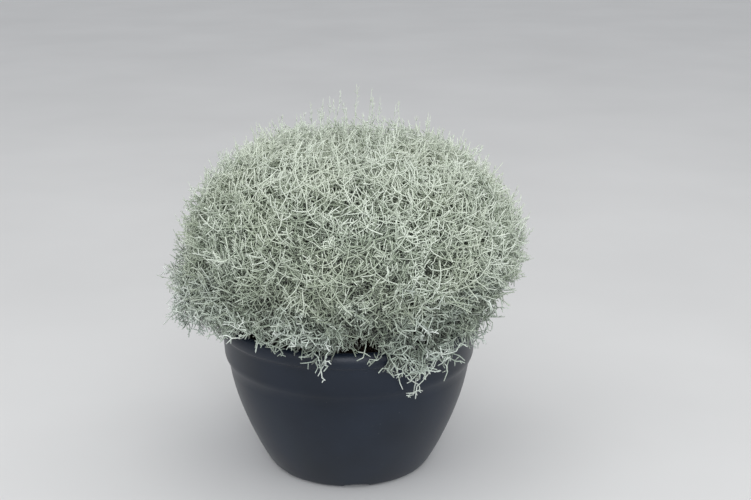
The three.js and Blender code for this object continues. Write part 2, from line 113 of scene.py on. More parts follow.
# Soil
SOIL_RIM = 149
SOIL_DOME = 155
SOIL_GAP = 0.4
SOIL_RINGS = 34
SOIL_RING_POWER = 1.2
SOIL_SIDES = 96
SOIL_WALL_STEPS = 12
SOIL_RELIEF = 1.3
SOIL_WAVES = (34, 15, 7, 3.5)
WAVES_EACH = 4
SOIL_SEED = 5
CRUMBS = 420
CRUMB_SIZE = (1.2, 4.2)
CRUMB_MARGIN = 6
CRUMB_STRETCH = (0.6, 1.1)
CRUMB_DENTS = 0.12

# The cushion's outline, from the top down to its hanging edge. Each knot above the
# waist is a share of the waist's radius and a drop from the top, and the one below it
# a share and a drop from the waist.
CUSHION_TOP = 374
UPPER_KNOTS = ((0, 0), (0.52, 14), (0.825, 51), (0.963, 99))
WAIST_RADIUS = 186
WAIST_HEIGHT = 247
LOWER_KNOT = (0.965, 52)
EDGE_RADIUS = 163
EDGE_HEIGHT = 166
OUTLINE_STEPS = 60
SLICES = 800
LEAN_LOW = -15
LEAN_HIGH = 7
LEAN_HEIGHTS = (195, 265)
CUSHION_MIDDLE = 235
HEART = (0, 0, 205)
CUSHION_HALF_HEIGHT = 140

# How twigs spread over it and head out of it: the skin is the depth that tells the
# way out, and they head up over most of it and down near the edge
AZIMUTH_JITTER = 2
SHARE_JITTER = 0.012
SKIN = 12
UPWARD_PULL = 1.2
UPWARD_SHARES = (0.62, 0.9)
DOWNWARD_PULL = 0.3
DOWNWARD_SHARES = (0.88, 1)

# Plants: one to each third of the pot, with a cleft between neighbours
PLANTS = ("front_right", "back", "front_left")
FIRST_CLEFT_AZIMUTH = 5
PLANT_SPACING = 120
CLEFT_WIDTH = 9
CLEFT_DEPTH = 20
CLEFT_LIFT = 14
CLEFT_ABOVE = 0.2

# Swags, where the hem droops: azimuth, width in degrees and droop, which starts and is
# full at these distances past the lip
SWAG_START = (-1, 12)
SWAGS = ((25, 9, 44), (45, 13, 18), (-7, 6, 8), (5, 6, -20), (-20, 9, -22), (-37, 9, -18),
         (-52, 14, -22), (-90, 24, -4), (96, 20, -16), (150, 22, 14), (215, 20, 10))

# Unevenness: tussocks on the sides, by their number round the cushion and their
# length down it, and a swell on the crown
TUSSOCK_HEIGHT = 4
TUSSOCKS_ROUND = (7, 4)
TUSSOCK_LENGTHS = (17, 23)
SWELL_HEIGHT = 6
SWELLS_ROUND = 5
SWELL_LENGTH = 14
SWELL_START = 0.1

# Stems: each bough's tip is a turn aside from the trunk, a radius and a height, and
# it leaves the trunk a little below the fork and rises over a knee
STEM_BASE = 106
STEM_CIRCLE = 60
STEM_STEPS = 16
FORK_HEIGHT = 168
FORK_TURN = 2
FORK_SHIFT = 3
TRUNK_RADIUS = 4.4
TRUNK_TAPER = 0.92
TRUNK_KNOBS = (0.95, 1.05)
TRUNK_SIDES = 12
BOUGH_RADIUS = 2.9
BOUGH_TIP_RADIUS = 1.9
BOUGH_TAPER_POWER = 0.8
BOUGH_KNOBS = (0.92, 1.08)
BOUGH_SIDES = 10
BOUGH_DROP = 5
KNEE_SHARE = 0.55
KNEE_RISE = 26
BOUGHS = ((-38, 114, 246), (36, 110, 256), (2, 130, 236), (-6, 46, 290))

# Limbs grow from the boughs and hub twigs from the limbs, both past the bare first
# steps of what they grow from, to a depth below the outline that thins near the edge
LIMBS = {
    "count": 190, "first_azimuth": 40, "depth": 60, "thinning": 0, "jitter": 9,
    "last_share": 0.93, "lowest": 186, "bare": 6, "choice": 1, "bend": 0.5, "steps": 6,
    "wander": 1.2, "radii": (1.7, 1.25),
}
HUBS = {
    "count": 1150, "first_azimuth": 0, "depth": 27, "thinning": 0.55, "jitter": 7,
    "last_share": 0.97, "lowest": 0, "bare": 3, "choice": 2, "bend": 0.45,
    "steps": 5, "wander": 1, "radii": (1.15, 0.85),
}
THINNING_SHARES = (0.8, 1)

# Twigs keep this far from the pot's outside and from its inside, and a point that is
# no further than this below the lip's top is lifted over it
CLEARANCE = 1.6
INNER_CLEARANCE = 2.6
LIFT_REACH = 8

# Twigs: how knobbly they are, and how thick their two ends are for a stoutness of 1
TWIG_SIDES = 3
KNOBS = (0.88, 1.12)
SHOOT_RADII = (0.88, 0.66)
BRANCHLET_RADII = (0.8, 0.62)
BRANCHLET_STEPS = 4
BRANCHLET_KINKS = 0.6
TWIGLET_RADII = (0.65, 0.52)
TWIGLET_NODES = (0.3, 0.55, 0.8)
TWIGLET_LENGTHS = (0.25, 0.34)
TWIGLET_ANGLES = (50, 84)
TONE_SPREAD = 0.25

# Shoots start at one of the nearest few hubs and bend at a share of their length
HUB_CHOICE = 4
SHOOT_BEND = (0.4, 0.6)
SHOOT_STEPS = 6
DEPTH_SPREAD = 3.2
RAGGED_EDGE = 0.04

# Side shoots: how far their nodes stray, how much they lie along the surface, how far
# a pair and one shoot turn from that, and their length from the foot to the tip
NODE_JITTER = 0.06
NODE_LIMITS = (0.05, 0.97)
FLATNESS = 1.5
PAIR_TURN = 0.4
ANGLE_SPREAD = 6
STRAY = 0.25
FOOT_LENGTH = 1.2
SHORTENING = 0.6

# Dull short shoots inside the cushion, and at the hem above the lip. Their spurs, and
# those of the hub twigs, are given as side_shoots takes them: nodes, lengths, angles,
# curl, steps and the share that is missing.
HUB_SPURS = ((0.5, 0.85), (8, 18), (45, 80), 0, 2, 0.2)
HUB_SPUR_RADII = (0.8, 0.6)
HUB_SPUR_TONES = (0, 0.6)
HUB_TONES = (0.2, 0.6)
LIMB_TONE = 0.4
DULL_RADII = (0.85, 0.65)
DULL_SPUR_RADII = (0.75, 0.55)
DULL_TONE = 0.7
INNER = {
    "count": 1600, "first_azimuth": 77, "tips": (12, 28), "reach": (24, 44),
    "wander": 0.4, "kinks": 0.8,
    "spurs": ((0.3, 0.6, 0.9), (14, 26), (50, 80), 0, 2, 0.2),
}
HEM = {
    "count": 4400, "first_azimuth": 140, "tips": (8, 34), "reach": (18, 36),
    "wander": 0.7, "kinks": 1.6,
    "spurs": ((0.4, 0.8), (9, 20), (45, 80), 0, 2, 0.3),
}
HEM_SHARES = (0.84, 0.95)
HEM_CLEFT = 9

# Zones of the cushion, by their share of the outline from the top; the first and last
# reach past its ends. A count is always for the whole cushion, the tips are a depth
# below its outline, and each shoot has pairs of branchlets at its nodes.
ZONES = {
    "crown": {
        "count": 1850, "first_azimuth": 15,
        "shares": (-1, 0.28), "tips": (4, 23), "reach": (45, 75),
        "kinks": 0.9, "wander": 0.7, "stoutness": 0.66,
        "nodes": (0.28, 0.45, 0.6, 0.74, 0.87), "branchlets": (18, 34), "angles": (62, 88),
        "curl": 0.35, "missing": 0.15, "twiglets": 0.32, "tone": 0.6,
    },
    "shoulder": {
        "count": 1400, "first_azimuth": 15,
        "shares": (0.28, 0.52), "tips": (3, 24), "reach": (50, 80),
        "kinks": 1.3, "wander": 0.5, "stoutness": 0.82,
        "nodes": (0.25, 0.4, 0.54, 0.67, 0.79, 0.9), "branchlets": (24, 44),
        "angles": (58, 84), "curl": 0.5, "missing": 0.15, "twiglets": 0.42, "tone": 0.5,
    },
    "flank": {
        "count": 1650, "first_azimuth": 15,
        "shares": (0.52, 0.78), "tips": (1, 22), "reach": (48, 80),
        "kinks": 1.5, "wander": 0.4, "stoutness": 0.92,
        "nodes": (0.25, 0.41, 0.56, 0.7, 0.82), "branchlets": (24, 42), "angles": (58, 88),
        "curl": 0.4, "missing": 0.2, "twiglets": 0.45, "tone": 0.54,
    },
    "skirt": {
        "count": 2100, "first_azimuth": 15,
        "shares": (0.78, 2), "tips": (-2, 18), "reach": (28, 54),
        "kinks": 2.8, "wander": 1.1, "stoutness": 0.94, "nodes": (0.22, 0.4, 0.58, 0.78),
        "branchlets": (12, 26), "angles": (34, 80), "curl": 0.1, "missing": 0.48,
        "twiglets": 0.3, "tone": 0.54,
    },
}

# Slender sprigs that stand above the crown and the shoulder, in bands: two shares, the
# depths of the tips, which lie outside the outline, and how much higher they grow
# around the azimuth where they are tall
SPRIG_BANDS = ((0, 0.13, (-34, -12), 0), (0.13, 0.36, (-23, -8), 20), (0.36, 0.85, (-15, -4), 0))
TALL_AZIMUTH = 174
TALL_WIDTH = 30
SPRIG = {
    "count": 430, "first_azimuth": 200,
    "reach": (50, 75), "wander": 0.14, "kinks": 0.5, "stoutness": 0.5,
    "nodes": (0.55, 0.64, 0.73, 0.81, 0.88), "branchlets": (4, 9), "angles": (32, 50),
    "curl": 0.4, "missing": 0.25, "twiglets": 0, "tone": 0.15,
}

# Long strands that arch over the cushion, first to a side and then up: the shares they
# end at, how far they swing sideways, their rise as a share, their depths from foot
# to tip and how much deeper the whole strand may lie
STRAND = {
    "count": 520, "first_azimuth": 310,
    "ends": (0.12, 0.66), "swing": (30, 72), "rise": (0.06, 0.15),
    "depths": (13, 0), "deeper": (-2, 6), "steps": 7, "kinks": 1, "stoutness": 0.82,
    "nodes": (0.26, 0.38, 0.5, 0.62, 0.74, 0.87), "branchlets": (12, 26),
    "angles": (58, 86), "curl": 0.35, "missing": 0.12, "twiglets": 0, "tone": 0.6,
}

# The felt on the twigs: its colours deep inside, halfway, near the outside and on loose
# strands, which are painted shade by depth as well as older, browner felt inside, and the
# tint of painted shade low down under the overhang. The inner set is darker again: partly
# older wood, partly painted shade inside the cushion.
FELTS = {
    "outer": ("4A5245", "AEBAA4", "E3EBDC", "E3EBDC", "D8DBDA"),
    "skirt": ("363D34", "8D998A", "E0E8DE", "FAFDF7", "DFE4E2"),
    "inner": ("383C31", "687260", "9DA993", "9DA993", "9A9DA0"),
}
AIRY_HEIGHTS = (325, 370)
LOW_SHADE_BELOW = 290


def smoothstep(low, high, value):
    share = np.clip((value - low) / (high - low), 0, 1)
    return share * share * (3 - 2 * share)


def unit(vectors):
    length = np.linalg.norm(vectors, axis=-1, keepdims=True)
    return vectors / np.maximum(length, 1e-9)


def place(azimuth, radius, height):
    """Points given by their azimuth in degrees, distance from the axis and height."""
    angle = np.radians(azimuth)
    parts = np.broadcast_arrays(radius * np.sin(angle), -radius * np.cos(angle), height)
    return np.stack(parts, axis=-1).astype(float)


# Colours and materials


def to_linear(hex_colour):
    """A linear colour from an sRGB one written as RRGGBB."""
    linear = []
    for start in (0, 2, 4):
        value = int(hex_colour[start:start + 2], 16) / 255
        linear.append(value / 12.92 if value <= 0.04045 else ((value + 0.055) / 1.055) ** 2.4)
    return (*linear, 1)


def add_node(tree, kind, inputs, output=0, stops=(), **settings):
    """Adds a shader node with its settings, with inputs that are values or other
    nodes' outputs, and with the stops of a colour ramp. Gives one of its outputs."""
    node = tree.nodes.new("ShaderNode" + kind)
    for name, value in settings.items():
        setattr(node, name, value)
    for name, value in inputs.items():
        if isinstance(value, bpy.types.NodeSocket):
            tree.links.new(value, node.inputs[name])
        else:
            node.inputs[name].default_value = value
    for index, (position, colour) in enumerate(stops):
        elements = node.color_ramp.elements
        element = elements[index] if index < 2 else elements.new(position)
        element.position = position
        element.color = to_linear(colour)
    return node.outputs[output] if node.outputs else None


def start_material(name):
    """A new material, its empty node tree and the place of each point of the object."""
    material = bpy.data.materials.new(name)
    material.use_nodes = True
    tree = material.node_tree
    tree.nodes.clear()
    where = add_node(tree, "TexCoord", {}, "Object")
    return material, tree, where


def finish_material(tree, surface):
    shader = add_node(tree, "BsdfPrincipled", surface)
    add_node(tree, "OutputMaterial", {"Surface": shader})


def per_metre(millimetres):
    """The scale of a pattern whose features are this many millimetres apart."""
    return 1 / (millimetres * MM)


def veiled(tree, colour, tint, pattern, span, cover, **settings):
    """A colour with a tint over it, which covers it by the second pair of shares as
    the pattern goes over the first pair of values."""
    share = add_node(tree, "MapRange", {
        "Value": pattern, "From Min": span[0], "From Max": span[1],
        "To Min": cover[0], "To Max": cover[1]})
    return add_node(tree, "Mix", {
        "Factor": share, 6: colour, 7: to_linear(tint)}, 2, data_type="RGBA", **settings)


def moulded_polypropylene():
    """Anthracite polypropylene, injection moulded: an even satin skin with a fine
    spark-eroded texture, a little cloudy where the melt flowed, and dusty from use."""
    material, tree, where = start_material("moulded_polypropylene")
    flow = add_node(tree, "TexNoise", {
        "Vector": where, "Scale": per_metre(55), "Detail": 3})
    # The real texture is about 0.1 mm, too fine to show, so it is drawn at 0.9 mm
    grit = add_node(tree, "TexNoise", {
        "Vector": where, "Scale": per_metre(0.9), "Detail": 2})
    dust = add_node(tree, "TexNoise", {
        "Vector": where, "Scale": per_metre(4.5), "Detail": 4, "Roughness": 0.65})
    tint = add_node(tree, "ValToRGB", {"Fac": flow}, stops=(
        (0.3, "0F1722"), (0.7, "17202D")))
    dusty = veiled(tree, tint, "8C8F8E", dust, (0.68, 0.76), (0, 0.3))
    height = add_node(tree, "SeparateXYZ", {"Vector": where}, "Z")
    # Painted shade: a pale veil, strongest at the foot and gone at the collar, so the collar under
    # the foliage reads darker
    painted_collar_shade = veiled(tree, dusty, "8C8F8E", height, (0, COLLAR_BOTTOM * MM), (0.03, 0))
    satin = add_node(tree, "MapRange", {
        "Value": flow, "From Min": 0.3, "From Max": 0.7, "To Min": 0.34, "To Max": 0.44})
    relief = add_node(tree, "Bump", {
        "Height": grit, "Distance": 0.12 * MM, "Strength": 0.35})
    finish_material(tree, {
        "Base Color": painted_collar_shade, "Roughness": satin, "Normal": relief, "IOR": 1.49,
        "Specular IOR Level": 0.31, "Sheen Weight": 0.04, "Sheen Roughness": 0.5})
    return material


def moist_peat():
    """Peat potting soil, loose and moist: dark fibrous crumbs, with paler dry ones."""
    material, tree, where = start_material("moist_peat")
    crumbs = add_node(tree, "TexNoise", {
        "Vector": where, "Scale": per_metre(5), "Detail": 5, "Roughness": 0.7})
    fibres = add_node(tree, "TexNoise", {
        "Vector": where, "Scale": per_metre(1.4), "Detail": 3, "Roughness": 0.6})
    tint = add_node(tree, "ValToRGB", {"Fac": crumbs}, stops=(
        (0.3, "241C15"), (0.55, "3A2D22"), (0.8, "5C4B3A")))
    colour = veiled(tree, tint, "6B5947", fibres, (0.55, 0.75), (0, 0.5))
    relief = add_node(tree, "Bump", {"Height": fibres, "Distance": 0.8 * MM})
    finish_material(tree, {"Base Color": colour, "Normal": relief, "Roughness": 0.95})
    return material


def grey_bark():
    """Bark of old woody stems: dull grey-brown, with cracks that run along them."""
    material, tree, where = start_material("grey_bark")
    stretched = add_node(tree, "Mapping", {"Vector": where, "Scale": (1, 1, 0.25)})
    cracks = add_node(tree, "TexNoise", {
        "Vector": stretched, "Scale": per_metre(1.6), "Detail": 4, "Roughness": 0.7})
    patches = add_node(tree, "TexNoise", {"Vector": where, "Scale": per_metre(9)})
    tint = add_node(tree, "ValToRGB", {"Fac": cracks}, stops=(
        (0.35, "3B342A"), (0.5, "6B6352"), (0.7, "8C8674")))
    colour = veiled(tree, tint, "9A9C8C", patches, (0.4, 0.7), (0, 0.5))
    relief = add_node(tree, "Bump", {"Height": cracks, "Distance": 0.5 * MM})
    finish_material(tree, {"Base Color": colour, "Normal": relief, "Roughness": 0.9})
    return material


def silver_felt(name, old, middle, young, loose, low_shade_tint):
    """Twigs clothed in tiny scale leaves and matted white hairs, as felt: matt, greener in
    some patches, and with painted shade by depth that leaves them pale at the tips and on
    loose strands and duller and browner deep inside, where the felt is also older; painted
    shade darkens them low down too."""
    material, tree, where = start_material(f"silver_felt_{name}")
    centred = add_node(tree, "Mapping", {
        "Vector": where, "Location": (0, 0, -CUSHION_MIDDLE * MM)})
    across = per_metre(WAIST_RADIUS)
    upright = per_metre(CUSHION_HALF_HEIGHT)
    scaled = add_node(tree, "VectorMath", {
        0: centred, 1: (across, across, upright)}, operation="MULTIPLY")
    reach = add_node(tree, "VectorMath", {0: scaled}, 1, operation="LENGTH")
    height = add_node(tree, "SeparateXYZ", {"Vector": where}, "Z")
    # The crown lets light through, so the painted shade by depth starts deeper there
    airy = add_node(tree, "MapRange", {
        "Value": height, "From Min": AIRY_HEIGHTS[0] * MM, "From Max": AIRY_HEIGHTS[1] * MM,
        "To Max": 0.25})
    raised = add_node(tree, "Math", {0: reach, 1: airy}, operation="ADD")
    # Each shoot has a tone of its own: some are silvery from end to end, some dull
    tone = add_node(tree, "Attribute", {}, "Fac", attribute_name="tone")
    silvery = add_node(tree, "MapRange", {
        "Value": tone, "To Min": -0.1, "To Max": 0.06})
    lifted = add_node(tree, "Math", {0: raised, 1: silvery}, operation="ADD")
    # Painted shade by depth: twigs darken from the lit outside of the cushion to its shaded inside,
    # partly also older, browner felt
    outer = add_node(tree, "MapRange", {
        "Value": lifted, "From Min": 0.74, "From Max": 1.12})
    by_depth = add_node(tree, "ValToRGB", {"Fac": outer}, stops=(
        (0, old), (0.42, middle), (0.76, young), (0.9, loose)))
    greened = veiled(tree, by_depth, "9CAA92", tone, (0, 1), (0.32, 0))
    patches = add_node(tree, "TexNoise", {"Vector": where, "Scale": per_metre(60)})
    warmed = veiled(tree, greened, "B9C09C", patches, (0.4, 0.65), (0, 0.22))
    # Painted shade: lower down, under the cushion's overhang, the twigs are multiplied duller and a
    # little bluer
    span = (EDGE_HEIGHT * MM, LOW_SHADE_BELOW * MM)
    shaded_low = veiled(tree, warmed, low_shade_tint, height, span, (1, 0), blend_type="MULTIPLY")
    # The scale leaves are about 1.5 mm long
    scales = add_node(tree, "TexNoise", {"Vector": where, "Scale": per_metre(1.6)})
    colour = veiled(tree, shaded_low, "E4E8DC", scales, (0.5, 0.7), (0, 0.22))
    relief = add_node(tree, "Bump", {
        "Height": scales, "Distance": 0.35 * MM, "Strength": 0.6})
    finish_material(tree, {
        "Base Color": colour, "Normal": relief, "Roughness": 0.88,
        "Sheen Weight": 0.25, "Sheen Roughness": 0.6})
    return material


def studio_paper():
    """Seamless backdrop paper, matt and pale, with the faintest unevenness."""
    material, tree, where = start_material("studio_paper")
    cloud = add_node(tree, "TexNoise", {
        "Vector": where, "Scale": per_metre(420), "Detail": 3})
    tint = add_node(tree, "ValToRGB", {"Fac": cloud}, stops=(
        (0.3, "D6D6D5"), (0.7, "DCDCDB")))
    finish_material(tree, {"Base Color": tint, "Roughness": 0.9})
    return material


# Meshes


def closed_tubes(lines, radii, sides=TWIG_SIDES):
    """Closed tubes, one round each line of points: points, quads and end caps."""
    count, steps, _ = lines.shape
    along = unit(np.gradient(lines, axis=1))
    mean = unit(lines[:, -1] - lines[:, 0])
    axis = np.eye(3)[np.argmin(np.abs(mean), axis=1)]
    across = np.cross(mean, axis)[:, None, :]
    across = unit(across - np.sum(across * along, axis=-1, keepdims=True) * along)
    beside = np.cross(along, across)
    turn = 2 * np.pi * np.arange(sides) / sides
    ring = np.cos(turn)[:, None] * across[:, :, None] + np.sin(turn)[:, None] * beside[:, :, None]
    points = lines[:, :, None] + radii[:, :, None, None] * ring
    first = np.arange(count)[:, None, None] * steps * sides
    row = first + np.arange(steps - 1)[:, None] * sides
    here = np.arange(sides)
    after = (here + 1) % sides
    quads = np.stack([row + here, row + after, row + sides + after, row + sides + here], axis=-1)
    start = first[:, 0] + np.arange(sides)[::-1]
    end = first[:, 0] + (steps - 1) * sides + np.arange(sides)
    return points.reshape(-1, 3), quads.reshape(-1, 4), np.concatenate([start, end])


def joined(batches):
    """Several lots of points and faces as one: each lot is points, then face arrays."""
    points = []
    faces = {}
    offset = 0
    for lot_points, *lot_faces in batches:
        points.append(lot_points)
        for lot in lot_faces:
            faces.setdefault(lot.shape[1], []).append(lot + offset)
        offset += len(lot_points)
    return np.concatenate(points), [np.concatenate(same) for same in faces.values()]


def new_object(name, points, face_lots, material):
    """An object from points in millimetres and arrays of faces with equal corners."""
    mesh = bpy.data.meshes.new(name)
    mesh.vertices.add(len(points))
    mesh.vertices.foreach_set("co", (points * MM).astype(np.float32).ravel())
    corners = np.concatenate([lot.ravel() for lot in face_lots])
    sizes = np.concatenate([np.full(len(lot), lot.shape[1]) for lot in face_lots])
    starts = np.concatenate([[0], np.cumsum(sizes)[:-1]])
    mesh.loops.add(len(corners))
    mesh.loops.foreach_set("vertex_index", corners.astype(np.int32))
    mesh.polygons.add(len(sizes))
    mesh.polygons.foreach_set("loop_start", starts.astype(np.int32))
    mesh.polygons.foreach_set("use_smooth", np.full(len(sizes), True))
    mesh.update(calc_edges=True)
    mesh.materials.append(material)
    piece = bpy.data.objects.new(name, mesh)
    bpy.context.scene.collection.objects.link(piece)
    return piece


def declare(piece, node):
    """A finished piece rides on the one body and stands for its node."""
    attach(piece, BODY)
    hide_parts(node)


def turned(profile, sides):
    """A closed profile of radius and height turned round the axis. The profile
    starts and ends on the axis."""
    profile = np.asarray(profile, float)
    azimuths = 360 * np.arange(sides) / sides
    inner = profile[1:-1]
    steps = len(inner)
    points = place(azimuths[:, None], inner[None, :, 0], inner[None, :, 1]).reshape(-1, 3)
    here = np.arange(sides)[:, None] * steps
    after = np.roll(here, -1, axis=0)
    row = np.arange(steps - 1)
    quads = np.stack([here + row, after + row, after + row + 1, here + row + 1], axis=-1)
    ends = np.array([(0, 0, profile[0, 1]), (0, 0, profile[-1, 1])])
    first = np.full_like(here, len(points))
    last = steps - 1
    start = np.concatenate([first, after, here], axis=1)
    end = np.concatenate([first + 1, here + last, after + last], axis=1)
    return np.concatenate([points, ends]), quads.reshape(-1, 4), np.concatenate([start, end])


def bezier(points, shares):
    """Points along a Bezier curve of 3 or 4 control points, at shares from 0 to 1."""
    shares = np.asarray(shares)[:, None]
    points = [np.asarray(point, float) for point in points]
    while len(points) > 1:
        points = [a * (1 - shares) + b * shares for a, b in zip(points, points[1:])]
    return points[0]


def rounded(profile, reach, steps=3):
    """A profile with each inner corner rounded, over at most this reach."""
    profile = [np.asarray(point, float) for point in profile]
    smooth = [profile[0]]
    for before, corner, after in zip(profile, profile[1:], profile[2:]):
        ends = []
        for side in (before - corner, after - corner):
            ends.append(corner + side * min(CORNER_SHARE, reach / np.linalg.norm(side)))
        smooth.extend(bezier([ends[0], corner, ends[1]], np.linspace(0, 1, steps)))
    smooth.append(profile[-1])
    return smooth


# Pot and soil


def bowl_wall(inset, bottom, steps):
    """The bowl's curved wall, moved in by an inset, from the bottom up."""
    handle_radius, handle_height = WALL_HIGH_HANDLE
    corners = (
        (HEEL_RADIUS - inset, bottom),
        (WALL_LOW_HANDLE - inset, bottom),
        (handle_radius - inset, handle_height),
        (SHOULDER_RADIUS - inset, SHOULDER_HEIGHT),
    )
    return list(bezier(corners, np.linspace(0, 1, steps)))


def lip_arc(height, across, start, steps):
    """A quarter of an ellipse that reaches the crest of the lip, from a start angle."""
    angles = np.radians(np.linspace(start, start + 90, steps))
    rise = POT_HEIGHT - height
    return [(LIP_CREST_RADIUS + across * math.cos(a), height + rise * math.sin(a)) for a in angles]


def between(first, last):
    """A closed shape between two rings of points: its points, quads and caps."""
    count = len(first)
    here = np.arange(count)
    after = (here + 1) % count
    quads = np.stack([here, after, after + count, here + count], axis=-1)
    return np.concatenate([first, last]), quads, np.array([here[::-1], here + count])


def arch_cutter(azimuth):
    """A low arched tunnel through the foot ring."""
    angles = np.radians(np.linspace(0, 180, ARCH_STEPS))
    across = ARCH_WIDTH / 2 * np.cos(angles)
    up = ARCH_HEIGHT * np.sqrt(np.abs(np.sin(angles)))
    outline = np.array([(ARCH_WIDTH / 2, -1), *zip(across, up), (-ARCH_WIDTH / 2, -1)])
    side = place(azimuth + 90, 1, 0)
    out = place(azimuth, 1, 0)
    flat = outline[:, :1] * side + outline[:, 1:] * np.array([0, 0, 1])
    middle = (FOOT_INNER + FOOT_OUTER) / 2
    near = middle - ARCH_TUNNEL / 2
    far = middle + ARCH_TUNNEL / 2
    return between(flat + near * out, flat + far * out)


def drain_cutter(azimuth):
    """A round drain hole through the floor."""
    centre = place(azimuth, DRAIN_CIRCLE, 0)
    turn = 2 * np.pi * np.arange(DRAIN_SIDES) / DRAIN_SIDES
    ring = np.stack([np.cos(turn), np.sin(turn), 0 * turn], axis=-1) * DRAIN_RADIUS + centre
    low = ring + (0, 0, FLOOR_UNDER - DRAIN_OVERCUT)
    return between(low, ring + (0, 0, FLOOR_TOP + DRAIN_OVERCUT))


def cut(piece, batches, material):
    """Cuts closed shapes out of a piece, and removes them."""
    points, faces = joined(batches)
    cutter = new_object("cutter", points, faces, material)
    modifier = piece.modifiers.new("cut", "BOOLEAN")
    modifier.operation = "DIFFERENCE"
    modifier.solver = "EXACT"
    modifier.object = cutter
    bpy.context.view_layer.update()
    graph = bpy.context.evaluated_depsgraph_get()
    result = bpy.data.meshes.new_from_object(piece.evaluated_get(graph))
    piece.modifiers.clear()
    piece.data = result
    bpy.data.objects.remove(cutter)


def make_pot():
    collar = [
        (SHOULDER_RADIUS, SHOULDER_HEIGHT),
        (COLLAR_BOTTOM_RADIUS, COLLAR_BOTTOM),
        (COLLAR_TOP_RADIUS, COLLAR_TOP),
        (LIP_UNDER_RADIUS, LIP_UNDER),
        (LIP_RADIUS, LIP_TURN),
    ]
    foot = [
        (FOOT_INNER - FOOT_SLOPE - FOOT_FLAT, FLOOR_UNDER),
        (FOOT_INNER - FOOT_SLOPE, FLOOR_UNDER),
        (FOOT_INNER, 0),
        (FOOT_OUTER, 0),
        (HEEL_RADIUS, HEEL_HEIGHT),
    ]
    roll = LIP_CREST_RADIUS - LIP_INNER_RADIUS
    inner_lip = lip_arc(POT_HEIGHT - LIP_INNER_ROLL, roll, 90, INNER_LIP_STEPS)
    profile = [
        (0, FLOOR_UNDER),
        *rounded(foot, CORNER_ROUNDING),
        *bowl_wall(0, HEEL_HEIGHT, WALL_STEPS)[1:-1],
        *rounded(collar, 3 * CORNER_ROUNDING, 5),
        *lip_arc(LIP_TURN, LIP_RADIUS - LIP_CREST_RADIUS, 0, LIP_STEPS)[1:],
        *inner_lip[1:],
        (COLLAR_BOTTOM_RADIUS - WALL, COLLAR_BOTTOM),
        *bowl_wall(WALL, FLOOR_TOP, INNER_WALL_STEPS)[::-1],
        (0, FLOOR_TOP),
    ]
    plastic = moulded_polypropylene()
    points, quads, caps = turned(profile, POT_SIDES)
    pot = new_object("moulded_pot", points, [quads, caps], plastic)
    cutters = []
    for k in range(ARCHES):
        azimuth = FIRST_ARCH_AZIMUTH + 360 / ARCHES * k
        cutters.append(arch_cutter(azimuth))
        cutters.append(drain_cutter(azimuth))
    cut(pot, cutters, plastic)
    pot.data.set_sharp_from_angle(angle=math.radians(SHARP_EDGE))
    declare(pot, "pot")


def waves(points, lengths, seed):
    """A smooth random height for each point, summed from waves of a few lengths."""
    draw = np.random.default_rng(seed)
    total = np.zeros(len(points))
    for length in lengths:
        for _ in range(WAVES_EACH):
            direction = unit(draw.normal(size=3)) * 2 * np.pi / length
            total += length * np.sin(points @ direction + draw.uniform(0, 6.28))
    return total / sum(lengths)


def make_soil():
    inset = WALL + SOIL_GAP
    edge = COLLAR_BOTTOM_RADIUS - inset
    radii = edge * (1 - np.linspace(0, 1, SOIL_RINGS) ** SOIL_RING_POWER)[1:-1]
    heights = SOIL_RIM + (SOIL_DOME - SOIL_RIM) * (1 - (radii / edge) ** 2)
    profile = [
        (0, FLOOR_TOP + SOIL_GAP),
        *bowl_wall(inset, FLOOR_TOP + SOIL_GAP, SOIL_WALL_STEPS),
        (edge, COLLAR_BOTTOM),
        (edge, SOIL_RIM - 1),
        *zip(radii, heights),
        (0, SOIL_DOME),
    ]
    points, quads, caps = turned(profile, SOIL_SIDES)
    on_top = points[:, 2] > SOIL_RIM
    points[on_top, 2] += SOIL_RELIEF * waves(points, SOIL_WAVES, SOIL_SEED)[on_top]
    peat = moist_peat()
    lots = [(points, quads, caps)]
    lots.extend(crumb(edge) for _ in range(CRUMBS))
    all_points, faces = joined(lots)
    soil = new_object("peat_soil", all_points, faces, peat)
    declare(soil, "potting_soil")


def crumb(edge):
    """One lump of peat, half sunk in the soil: a dented eight-sided grain."""
    size = rng.uniform(*CRUMB_SIZE)
    radius = (edge - CRUMB_MARGIN) * math.sqrt(rng.uniform(0, 1))
    height = SOIL_RIM + (SOIL_DOME - SOIL_RIM) * (1 - (radius / edge) ** 2)
    centre = place(rng.uniform(0, 360), radius, height)
    tips = np.concatenate([np.eye(3), -np.eye(3)])
    tips = tips * rng.uniform(*CRUMB_STRETCH, (6, 1)) + rng.normal(0, CRUMB_DENTS, (6, 3))
    faces = [(0, 1, 2), (1, 3, 2), (3, 4, 2), (4, 0, 2), (1, 0, 5), (3, 1, 5), (4, 3, 5), (0, 4, 5)]
    return centre + size * tips, np.array(faces)


# The cushion's outline


